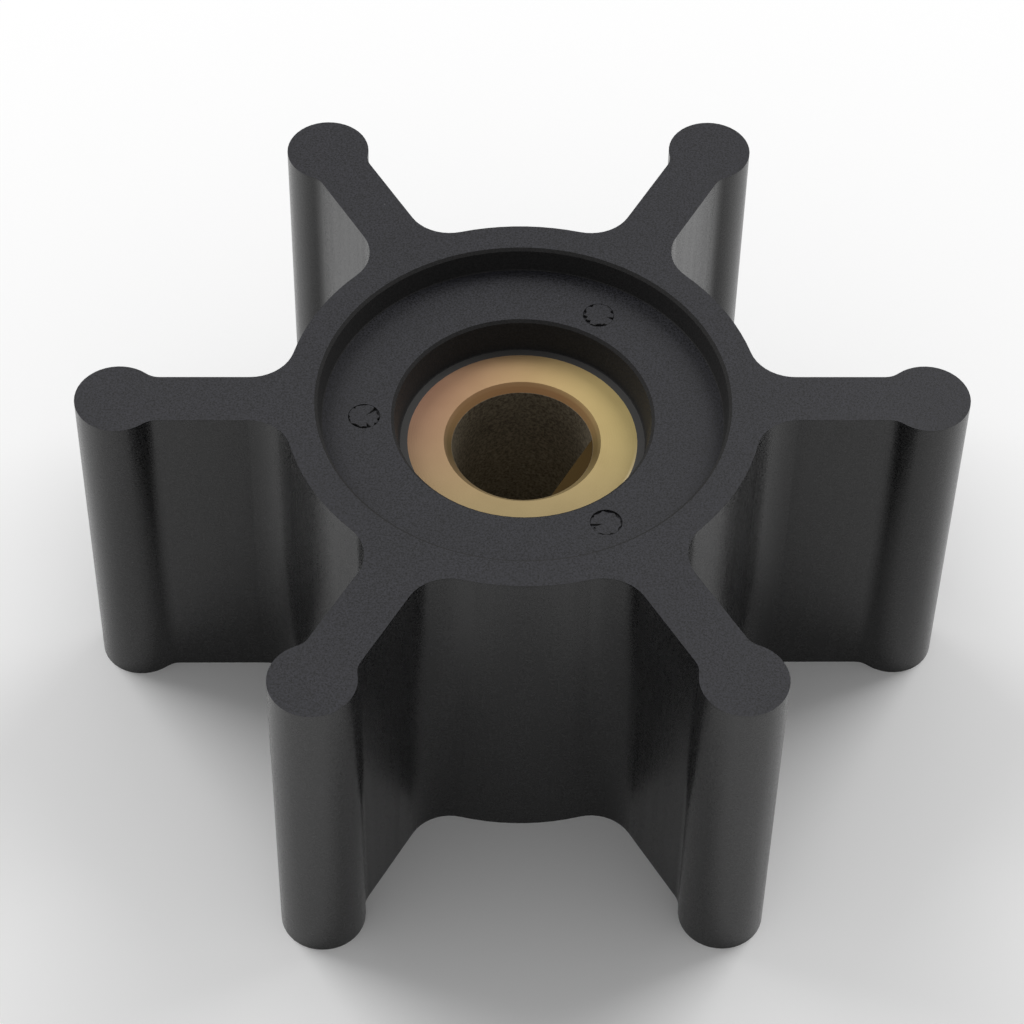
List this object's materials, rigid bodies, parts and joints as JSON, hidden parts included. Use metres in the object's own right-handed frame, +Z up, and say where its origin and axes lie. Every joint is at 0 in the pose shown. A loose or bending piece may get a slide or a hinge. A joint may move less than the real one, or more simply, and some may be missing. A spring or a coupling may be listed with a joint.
{
  "type": "pump impeller",
  "caption": "Flexible rubber pump impeller with straight bulb-tipped blades round a recessed hub, moulded onto a brass bush with a D-shaped shaft bore.",
  "frame": {"origin": "centre of the lower end face, on the axis of the shaft bore", "axes": "+Z up the shaft bore, towards the end face with the gate marks; +X along one blade"},
  "size_m": [0.05, 0.044, 0.0222],
  "materials": {
    "rubber": "moulded nitrile rubber, matt black-grey",
    "brass": "turned brass, lightly dulled"
  },
  "bodies": {
    "root": {"rubber_body": "rubber", "brass_bush": "brass"}
  },
  "joints": []
}
